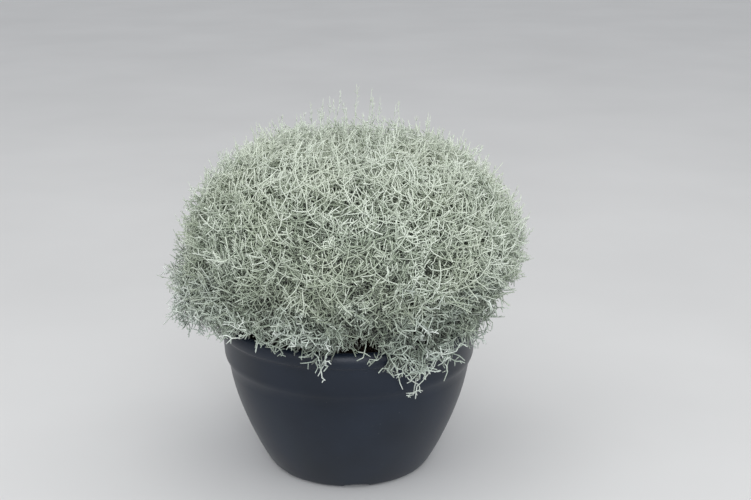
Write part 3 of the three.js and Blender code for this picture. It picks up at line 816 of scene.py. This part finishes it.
def cushion_outline():
    """The outline as a fine table: share of its length, points and outward normals."""
    knots = np.array([
        *((out * WAIST_RADIUS, CUSHION_TOP - drop) for out, drop in UPPER_KNOTS),
        (WAIST_RADIUS, WAIST_HEIGHT),
        (LOWER_KNOT[0] * WAIST_RADIUS, WAIST_HEIGHT - LOWER_KNOT[1]),
        (EDGE_RADIUS, EDGE_HEIGHT),
    ], float)
    padded = np.concatenate([knots[:1], knots, knots[-1:]])
    t = np.linspace(0, 1, OUTLINE_STEPS, endpoint=False)[:, None]
    spans = []
    for a, b, c, d in zip(padded, padded[1:], padded[2:], padded[3:]):
        linear = (c - a) * t
        square = (2 * a - 5 * b + 4 * c - d) * t ** 2
        cube = (3 * b - a - 3 * c + d) * t ** 3
        spans.append(b + 0.5 * (linear + square + cube))
    points = np.concatenate([*spans, knots[-1:]])
    steps = np.linalg.norm(np.diff(points, axis=0), axis=1)
    shares = np.concatenate([[0], np.cumsum(steps)]) / steps.sum()
    tangents = unit(np.gradient(points, axis=0))
    normals = np.stack([-tangents[:, 1], tangents[:, 0]], axis=-1)
    return shares, points, normals


OUTLINE_SHARES, OUTLINE_POINTS, OUTLINE_NORMALS = cushion_outline()


def outline_point(share, depth):
    """Radius and height on the outline, moved in by a depth along its normal."""
    parts = []
    for axis in (0, 1):
        point = np.interp(share, OUTLINE_SHARES, OUTLINE_POINTS[:, axis])
        normal = np.interp(share, OUTLINE_SHARES, OUTLINE_NORMALS[:, axis])
        parts.append(point - normal * depth)
    return np.maximum(parts[0], 0), parts[1]


def turn_between(azimuth, middle):
    return (azimuth - middle + 180) % 360 - 180


def grown(azimuth, radius, height):
    """The real place of a point of the round cushion: with its lean, its clefts
    between the plants, its drooping swags and its tussocks of shoots."""
    out = np.minimum(radius / WAIST_RADIUS, 1)
    low = 1 - smoothstep(EDGE_HEIGHT, WAIST_HEIGHT, height)
    off = turn_between((azimuth - FIRST_CLEFT_AZIMUTH) % PLANT_SPACING * 3, 0) / 3
    cleft = np.exp(-(off / CLEFT_WIDTH) ** 2) * (CLEFT_ABOVE + (1 - CLEFT_ABOVE) * low)
    lean = LEAN_LOW + (LEAN_HIGH - LEAN_LOW) * smoothstep(*LEAN_HEIGHTS, height)
    angle = np.radians(azimuth)
    rising = TUSSOCKS_ROUND[0] * angle + height / TUSSOCK_LENGTHS[0]
    falling = TUSSOCKS_ROUND[1] * angle - height / TUSSOCK_LENGTHS[1]
    tussock = np.sin(rising) * np.cos(falling)
    spread = lean * np.sin(angle) - CLEFT_DEPTH * cleft + TUSSOCK_HEIGHT * tussock
    droop = 0
    for middle, width, depth in SWAGS:
        droop = droop + depth * np.exp(-(turn_between(azimuth, middle) / width) ** 2)
    over_lip = smoothstep(*SWAG_START, radius - LIP_RADIUS)
    lift = CLEFT_LIFT * cleft * low - droop * low ** 2 * over_lip
    swell = (1 - out) * SWELL_HEIGHT * np.sin(radius / SWELL_LENGTH + SWELLS_ROUND * angle)
    swell = swell * (out > SWELL_START)
    return place(azimuth, radius + out * spread, height + out * lift + swell)


def cushion_points(share, azimuth, depth):
    radius, height = outline_point(share, depth)
    return grown(azimuth, radius, height)


def spread_places(count, first_azimuth):
    """Shares and azimuths spread evenly over the cushion by the golden angle."""
    slices = np.linspace(0, 1, SLICES + 1)
    middles = (slices[1:] + slices[:-1]) / 2
    weights = np.maximum(outline_point(middles, 0)[0], 0)
    sums = np.concatenate([[0], np.cumsum(weights)]) / weights.sum()
    order = np.arange(count)
    share = np.interp((order + 0.5) / count, sums, slices)
    golden_angle = 180 * (3 - math.sqrt(5))
    strayed = rng.uniform(-AZIMUTH_JITTER, AZIMUTH_JITTER, count)
    azimuth = first_azimuth + golden_angle * order + strayed
    share = np.clip(share + rng.uniform(-SHARE_JITTER, SHARE_JITTER, count), 0, 1)
    return share, azimuth % 360


def outward(share, azimuth):
    """The way out of the cushion at a place on its outline."""
    return unit(cushion_points(share, azimuth, 0) - cushion_points(share, azimuth, SKIN))


def growth(share, azimuth, wander):
    """The way that shoots grow: out of the cushion and up towards the light, and at
    the hanging edge out and down."""
    upward = UPWARD_PULL * (1 - smoothstep(*UPWARD_SHARES, share))
    downward = DOWNWARD_PULL * smoothstep(*DOWNWARD_SHARES, share)
    heading = outward(share, azimuth)
    heading[:, 2] += upward - downward
    return unit(heading + rng.normal(0, wander, heading.shape))


def plant_at(azimuth):
    return ((azimuth - FIRST_CLEFT_AZIMUTH) % 360 // PLANT_SPACING).astype(int)


# Twigs


def random_across(directions):
    """A random unit vector across each direction."""
    random = rng.normal(size=directions.shape)
    random -= np.sum(random * directions, axis=-1, keepdims=True) * directions
    return unit(random)


def arcs(start, control, end, steps, wander):
    """Lines of points along quadratic curves, that wander a little off them."""
    t = np.linspace(0, 1, steps)[:, None]
    lines = (1 - t) ** 2 * start[:, None] + 2 * t * (1 - t) * control[:, None] + t ** 2 * end[:, None]
    lines[:, 1:-1] += rng.normal(0, wander, lines[:, 1:-1].shape)
    return lines


def along_lines(lines, shares):
    """The point and the direction at a share of each line's steps."""
    position = shares * (lines.shape[1] - 1)
    step = np.minimum(position.astype(int), lines.shape[1] - 2)
    within = (position - step)[:, None]
    rows = np.arange(len(lines))
    before = lines[rows, step]
    after = lines[rows, step + 1]
    return before + (after - before) * within, unit(after - before)


def side_shoots(lines, nodes, lengths, angles, curl, steps, missing):
    """Side shoots in opposite pairs, one pair at each node of each line, mostly laid
    along the cushion's surface. Lengths and angles are each a low and a high value. The
    curl bends a side shoot back to the way that its parent grows, and a share of them
    is missing. Gives their lines and their parents."""
    made = []
    parents = []
    count = len(lines)
    mean = unit(lines[:, -1] - lines[:, 0])
    out = unit(lines[:, -1] - HEART)
    across = unit(random_across(mean) + FLATNESS * unit(np.cross(out, mean)))
    for node in nodes:
        at = np.clip(node + rng.uniform(-NODE_JITTER, NODE_JITTER, count), *NODE_LIMITS)
        base, along = along_lines(lines, at)
        side = unit(across - np.sum(across * along, axis=-1, keepdims=True) * along)
        side = unit(side + rng.normal(0, PAIR_TURN, (count, 1)) * np.cross(along, side))
        opening = rng.uniform(*angles, (count, 1))
        for way in (-1, 1):
            angle = np.radians(opening + rng.normal(0, ANGLE_SPREAD, (count, 1)))
            heading = np.cos(angle) * along + way * np.sin(angle) * side
            length = rng.uniform(*lengths, (count, 1)) * (FOOT_LENGTH - SHORTENING * at[:, None])
            bend = curl * along + rng.uniform(0, STRAY, (count, 1)) * random_across(heading)
            line = [base]
            for step in range(1, steps):
                ahead = unit(heading + bend * (step - 1) / max(steps - 2, 1))
                line.append(line[-1] + ahead * length / (steps - 1))
            kept = rng.uniform(0, 1, count) > missing
            made.append(np.stack(line, axis=1)[kept])
            parents.append(np.flatnonzero(kept))
    return np.concatenate(made), np.concatenate(parents)


def tapered(lines, thick, thin):
    """Radii along lines, from thick to thin, a little knobbly from the scale leaves."""
    radii = thick + (thin - thick) * np.linspace(0, 1, lines.shape[1])
    return radii * rng.uniform(*KNOBS, lines.shape[:2])


def clear_of_pot(lines):
    """Moves points that would lie in the pot's lip or wall just clear of it."""
    radius = np.hypot(lines[..., 0], lines[..., 1])
    height = lines[..., 2]
    beside_lip = height > COLLAR_TOP - 1
    outside = np.where(beside_lip, LIP_RADIUS + CLEARANCE, COLLAR_TOP_RADIUS + CLEARANCE)
    inside = LIP_INNER_RADIUS - INNER_CLEARANCE
    top = POT_HEIGHT + CLEARANCE
    within = (radius < outside) & (radius > inside) & (height < top)
    lifted = within & (top - height < LIFT_REACH)
    lines[..., 2] = np.where(lifted, top, height)
    pushed = within & ~lifted
    goal = np.where(radius > LIP_CREST_RADIUS - 2, outside, inside)
    scale = np.where(pushed, goal / np.maximum(radius, 1), 1)
    lines[..., :2] *= scale[..., None]
    return lines


def nearest(points, to, choice=1):
    """For each point, the index of one of its nearest few others, drawn at random."""
    gaps = np.linalg.norm(points[:, None] - to[None], axis=-1)
    order = np.argpartition(gaps, choice, axis=1)[:, :choice]
    pick = rng.integers(0, choice, len(points))
    return order[np.arange(len(points)), pick]


def bough_lines(plant):
    """The trunk and the boughs of one plant, as lines of points."""
    middle = FIRST_CLEFT_AZIMUTH + PLANT_SPACING * (plant + 0.5)
    base = place(middle, STEM_CIRCLE, STEM_BASE)
    fork = place(middle + FORK_TURN, STEM_CIRCLE + FORK_SHIFT, FORK_HEIGHT)
    shares = np.linspace(0, 1, STEM_STEPS)
    trunk = bezier([base, (base + fork) / 2, fork], shares)
    boughs = []
    for aside, out, height in BOUGHS:
        start = fork - (0, 0, BOUGH_DROP)
        turn = middle + aside * KNEE_SHARE
        knee = place(turn, (out + STEM_CIRCLE) / 2, FORK_HEIGHT + KNEE_RISE)
        tip = place(middle + aside, out, height)
        boughs.append(bezier([start, knee, tip], shares))
    return trunk, np.array(boughs)


def make_stems(plant, bark):
    trunk, boughs = bough_lines(plant)
    trunk_radii = np.linspace(TRUNK_RADIUS, TRUNK_TAPER * TRUNK_RADIUS, STEM_STEPS)[None]
    trunk_radii = trunk_radii * rng.uniform(*TRUNK_KNOBS, STEM_STEPS)
    shares = np.linspace(0, 1, STEM_STEPS) ** BOUGH_TAPER_POWER
    bough_radii = BOUGH_RADIUS + (BOUGH_TIP_RADIUS - BOUGH_RADIUS) * shares
    bough_radii = bough_radii * rng.uniform(*BOUGH_KNOBS, boughs.shape[:2])
    points, faces = joined([
        closed_tubes(trunk[None], trunk_radii, TRUNK_SIDES),
        closed_tubes(boughs, bough_radii, BOUGH_SIDES),
    ])
    stems = new_object(f"woody_stems_{PLANTS[plant]}", points, faces, bark)
    declare(stems, f"stems_{PLANTS[plant]}")
    return boughs


class Thicket:
    """Twigs gathered for one piece: tubes and the tone of each of their points."""

    def __init__(self):
        self.lots = []
        self.tones = []

    def add(self, lines, radii, tones, stoutness=1):
        thick, thin = radii
        lines = clear_of_pot(lines.copy())
        self.lots.append(closed_tubes(lines, tapered(lines, thick * stoutness, thin * stoutness)))
        self.tones.append(np.repeat(tones, lines.shape[1] * TWIG_SIDES))

    def finish(self, kind, plant, felt):
        points, faces = joined(self.lots)
        piece = new_object(f"{kind}_{PLANTS[plant]}", points, faces, felt)
        tone = piece.data.attributes.new("tone", "FLOAT", "POINT")
        tone.data.foreach_set("value", np.concatenate(self.tones).astype(np.float32))
        declare(piece, f"foliage_{PLANTS[plant]}")


def places_of(plant, habit):
    """The places of one plant, of as many as the habit spreads over the cushion."""
    share, azimuth = spread_places(habit["count"], habit["first_azimuth"])
    mine = plant_at(azimuth) == plant
    return share[mine], azimuth[mine]


def grow_within(stock, plant, habit):
    """Limbs from the boughs, or hub twigs from the limbs, to points inside the cushion.
    Each leaves the nearest line of its stock the way that the line grows."""
    share, azimuth = places_of(plant, habit)
    depth = habit["depth"] * (1 - habit["thinning"] * smoothstep(*THINNING_SHARES, share))
    depth = depth + rng.uniform(-habit["jitter"], habit["jitter"], len(share))
    ends = cushion_points(np.minimum(share, habit["last_share"]), azimuth, depth)
    ends[:, 2] = np.maximum(ends[:, 2], habit["lowest"])
    starts = stock[:, habit["bare"]:].reshape(-1, 3)
    headings = unit(np.gradient(stock, axis=1))[:, habit["bare"]:].reshape(-1, 3)
    parent = nearest(ends, starts, habit["choice"])
    reach = np.linalg.norm(ends - starts[parent], axis=1, keepdims=True)
    control = starts[parent] + headings[parent] * reach * habit["bend"]
    return arcs(starts[parent], control, ends, habit["steps"], habit["wander"])


def grow_shoots(hubs, places, habit, extra=0):
    """Shoots from a hub some way back, that turn to the way that shoots grow."""
    share, azimuth = places
    low, high = habit["tips"]
    depth = rng.normal((low + high) / 2, (high - low) / DEPTH_SPREAD, len(share))
    tips = cushion_points(share, azimuth, np.clip(depth, low, high) - extra)
    heading = growth(share, azimuth, habit["wander"])
    starts = hubs[:, -2:].reshape(-1, 3)
    reach = rng.uniform(*habit["reach"], (len(share), 1))
    parent = nearest(tips - heading * reach, starts, HUB_CHOICE)
    first = starts[parent]
    reach = np.linalg.norm(tips - first, axis=1, keepdims=True)
    control = tips - heading * reach * rng.uniform(*SHOOT_BEND, (len(share), 1))
    return arcs(first, control, tips, SHOOT_STEPS, habit["kinks"])


def grow_strands(hubs, plant):
    """Strands from a hub that lie along the cushion, swing to a side and turn up."""
    share, azimuth = places_of(plant, STRAND)
    low, high = STRAND["ends"]
    mine = (share > low) & (share < high)
    share, azimuth = share[mine, None], azimuth[mine, None]
    turn = np.linspace(0, np.pi / 2, STRAND["steps"])
    swing = rng.uniform(*STRAND["swing"], share.shape) * rng.choice((-1, 1), share.shape)
    swing = np.degrees(swing / outline_point(share, 0)[0])
    rise = rng.uniform(*STRAND["rise"], share.shape)
    depths = np.linspace(*STRAND["depths"], STRAND["steps"])
    depths = depths + rng.uniform(*STRAND["deeper"], share.shape)
    lines = cushion_points(
        share + rise * np.cos(turn), azimuth - swing * (1 - np.sin(turn)), depths)
    parent = nearest(lines[:, 0], hubs[:, -1])
    return np.concatenate([hubs[parent, -1:], lines], axis=1)


def zone_places(plant, zone):
    """The places of one plant's shoots in one zone, with a ragged edge between zones."""
    share, azimuth = places_of(plant, zone)
    ragged = share + rng.uniform(-RAGGED_EDGE, RAGGED_EDGE, len(share))
    low, high = zone["shares"]
    mine = (ragged >= low) & (ragged < high)
    return share[mine], azimuth[mine]


def branched(thicket, shoots, habit):
    """Adds shoots, the branchlets at their nodes and a share of twiglets on those."""
    stoutness = habit["stoutness"]
    tones = np.clip(rng.normal(habit["tone"], TONE_SPREAD, len(shoots)), 0, 1)
    thicket.add(shoots, SHOOT_RADII, tones, stoutness)
    lengths = habit["branchlets"]
    branchlets, parents = side_shoots(
        shoots, habit["nodes"], lengths, habit["angles"], habit["curl"], BRANCHLET_STEPS,
        habit["missing"])
    kinks = BRANCHLET_KINKS * habit["kinks"]
    branchlets[:, 1:] += rng.normal(0, kinks, branchlets[:, 1:].shape)
    tones = tones[parents]
    thicket.add(branchlets, BRANCHLET_RADII, tones, stoutness)
    if habit["twiglets"]:
        lengths = (TWIGLET_LENGTHS[0] * lengths[0], TWIGLET_LENGTHS[1] * lengths[1])
        missing = 1 - habit["twiglets"]
        lines, parents = side_shoots(
            branchlets, TWIGLET_NODES, lengths, TWIGLET_ANGLES, 0, 2, missing)
        thicket.add(lines, TWIGLET_RADII, tones[parents], stoutness)


def add_dull(thicket, hubs, places, habit):
    """Adds short shoots with spurs, duller than the twigs outside them."""
    shoots = grow_shoots(hubs, places, habit)
    tones = rng.uniform(0, DULL_TONE, len(shoots))
    thicket.add(shoots, DULL_RADII, tones)
    spurs, parents = side_shoots(shoots, *habit["spurs"])
    thicket.add(spurs, DULL_SPUR_RADII, tones[parents])


def inner_twigs(limbs, hubs, plant, felt):
    """What lies under the outer twigs: limbs, hub twigs and duller shoots."""
    inside = Thicket()
    inside.add(limbs, LIMBS["radii"], np.full(len(limbs), LIMB_TONE))
    inside.add(hubs, HUBS["radii"], rng.uniform(*HUB_TONES, len(hubs)))
    spurs, _ = side_shoots(hubs, *HUB_SPURS)
    inside.add(spurs, HUB_SPUR_RADII, rng.uniform(*HUB_SPUR_TONES, len(spurs)))
    add_dull(inside, hubs, places_of(plant, INNER), INNER)
    inside.finish("inner_twigs", plant, felt)


def fill_hem(thicket, hubs, plant):
    """Short shoots that fill the hem above the lip, but not the open cleft in front."""
    share, azimuth = places_of(plant, HEM)
    aside = np.abs(turn_between(azimuth, FIRST_CLEFT_AZIMUTH))
    low, high = HEM_SHARES
    hem = (share > low) & (share < high) & (aside > HEM_CLEFT)
    add_dull(thicket, hubs, (share[hem], azimuth[hem]), HEM)


def raise_sprigs(thicket, hubs, plant):
    """Slender sprigs above the crown and the shoulder, tall at one azimuth."""
    share, azimuth = places_of(plant, SPRIG)
    for low, high, tips, taller in SPRIG_BANDS:
        mine = (share >= low) & (share < high)
        off = turn_between(azimuth[mine], TALL_AZIMUTH) / TALL_WIDTH
        extra = taller * np.exp(-off ** 2)
        places = (share[mine], azimuth[mine])
        branched(thicket, grow_shoots(hubs, places, {**SPRIG, "tips": tips}, extra), SPRIG)


def outer_twigs(hubs, plant, felts):
    """The twigs that show: a piece for each zone, with what else grows there."""
    for name, zone in ZONES.items():
        outside = Thicket()
        branched(outside, grow_shoots(hubs, zone_places(plant, zone), zone), zone)
        if name == "crown":
            raise_sprigs(outside, hubs, plant)
        if name == "shoulder":
            branched(outside, grow_strands(hubs, plant), STRAND)
        if name == "skirt":
            fill_hem(outside, hubs, plant)
        outside.finish(f"{name}_shoots", plant, felts.get(name, felts["outer"]))


# Studio


def add_lamp(name, place_mm, size, watts, colour):
    """A round area lamp that points at the bush."""
    light = bpy.data.lights.new(name, "AREA")
    light.shape = "DISK"
    light.size = size * MM
    light.energy = watts
    light.color = to_linear(colour)[:3]
    lamp = bpy.data.objects.new(name, light)
    bpy.context.scene.collection.objects.link(lamp)
    start = np.array(place_mm) * MM
    towards = np.array(LAMP_AIM) * MM - start
    across = math.hypot(towards[0], towards[1])
    turn = math.atan2(towards[1], towards[0]) - math.pi / 2
    lamp.location = start
    lamp.rotation_euler = (math.atan2(towards[2], across) + math.pi / 2, 0, turn)


def make_studio():
    camera_data = bpy.data.cameras.new("camera")
    camera_data.sensor_width = SENSOR_WIDTH
    camera_data.lens = LENS
    camera_data.clip_end = SIGHT_METRES
    camera = bpy.data.objects.new("camera", camera_data)
    camera.location = np.array(CAMERA_PLACE) * MM
    camera.rotation_euler = (math.radians(CAMERA_TILT), 0, 0)
    bpy.context.scene.collection.objects.link(camera)
    bpy.context.scene.camera = camera

    corners = np.array([(-1, -1, 0), (1, -1, 0), (1, 1, 0), (-1, 1, 0)], float) * FLOOR_REACH
    floor = new_object("floor", corners, [np.array([[0, 1, 2, 3]])], studio_paper())

    for name, settings in LAMPS.items():
        add_lamp(name, *settings)
    world = bpy.data.worlds.new("studio")
    world.use_nodes = True
    background = world.node_tree.nodes["Background"]
    background.inputs["Color"].default_value = to_linear(SKY_COLOUR)
    background.inputs["Strength"].default_value = SKY_STRENGTH
    bpy.context.scene.world = world
    bpy.context.scene.view_settings.view_transform = "Standard"


make_studio()
make_pot()
make_soil()
bark = grey_bark()
felts = {name: silver_felt(name, *colours) for name, colours in FELTS.items()}
for plant in range(len(PLANTS)):
    boughs = make_stems(plant, bark)
    limbs = grow_within(boughs, plant, LIMBS)
    hubs = grow_within(limbs, plant, HUBS)
    inner_twigs(limbs, hubs, plant, felts["inner"])
    outer_twigs(hubs, plant, felts)
